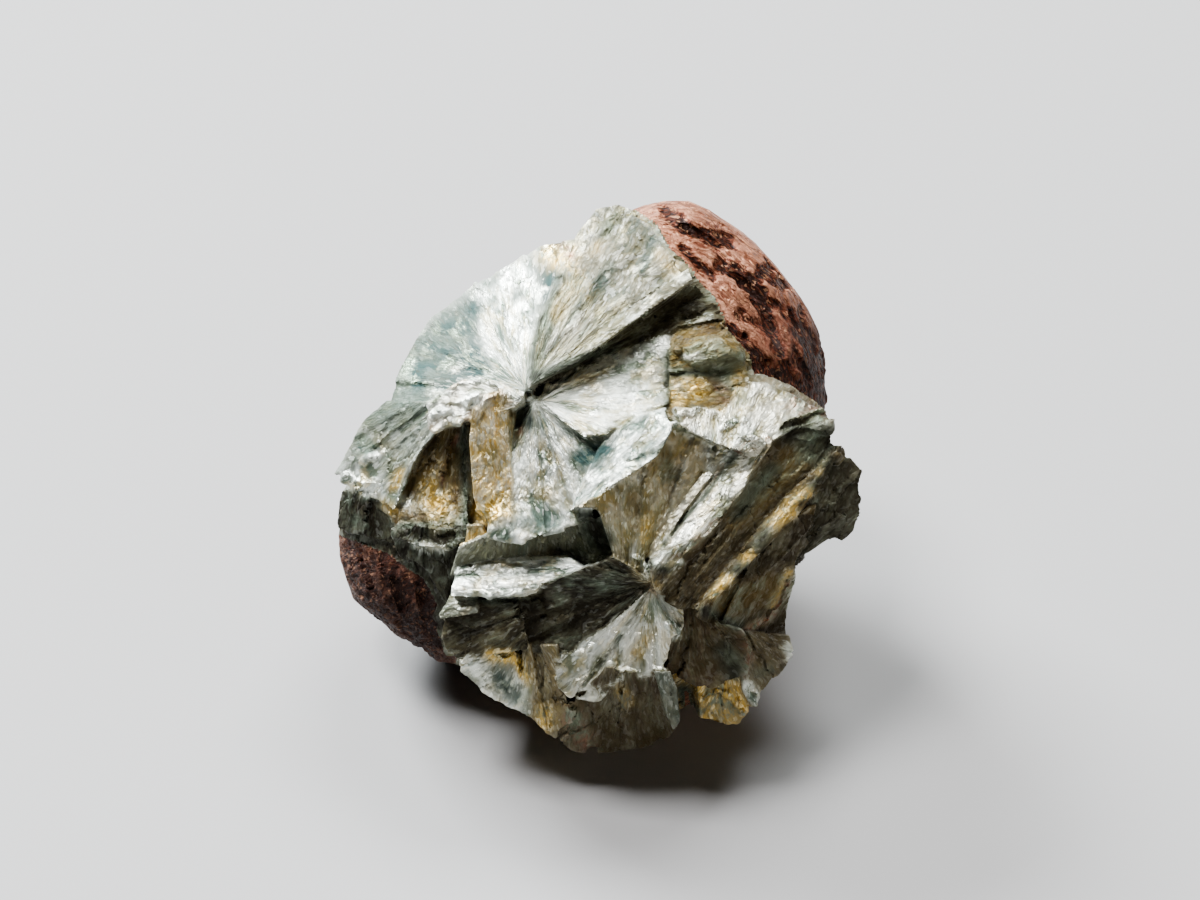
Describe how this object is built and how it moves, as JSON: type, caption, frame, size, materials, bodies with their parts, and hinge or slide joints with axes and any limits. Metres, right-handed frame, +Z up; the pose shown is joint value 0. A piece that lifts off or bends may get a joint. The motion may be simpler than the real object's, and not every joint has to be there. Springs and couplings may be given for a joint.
{
  "type": "seraphinite specimen",
  "caption": "Rough broken nodule of silvery green seraphinite with fans of pearly blades and a copper-brown rind.",
  "frame": {"origin": "middle of the bounding box's bottom, on the surface that the stone rests on", "axes": "+Z up, +X to the right across the broken face, -Y the way the broken face leans towards"},
  "size_m": [0.022, 0.021, 0.0192],
  "materials": {
    "seraphinite": "pearly silver-green broken blades, with a satin copper-brown rind"
  },
  "bodies": {
    "root": {"seraphinite_nodule": "seraphinite"}
  },
  "joints": []
}
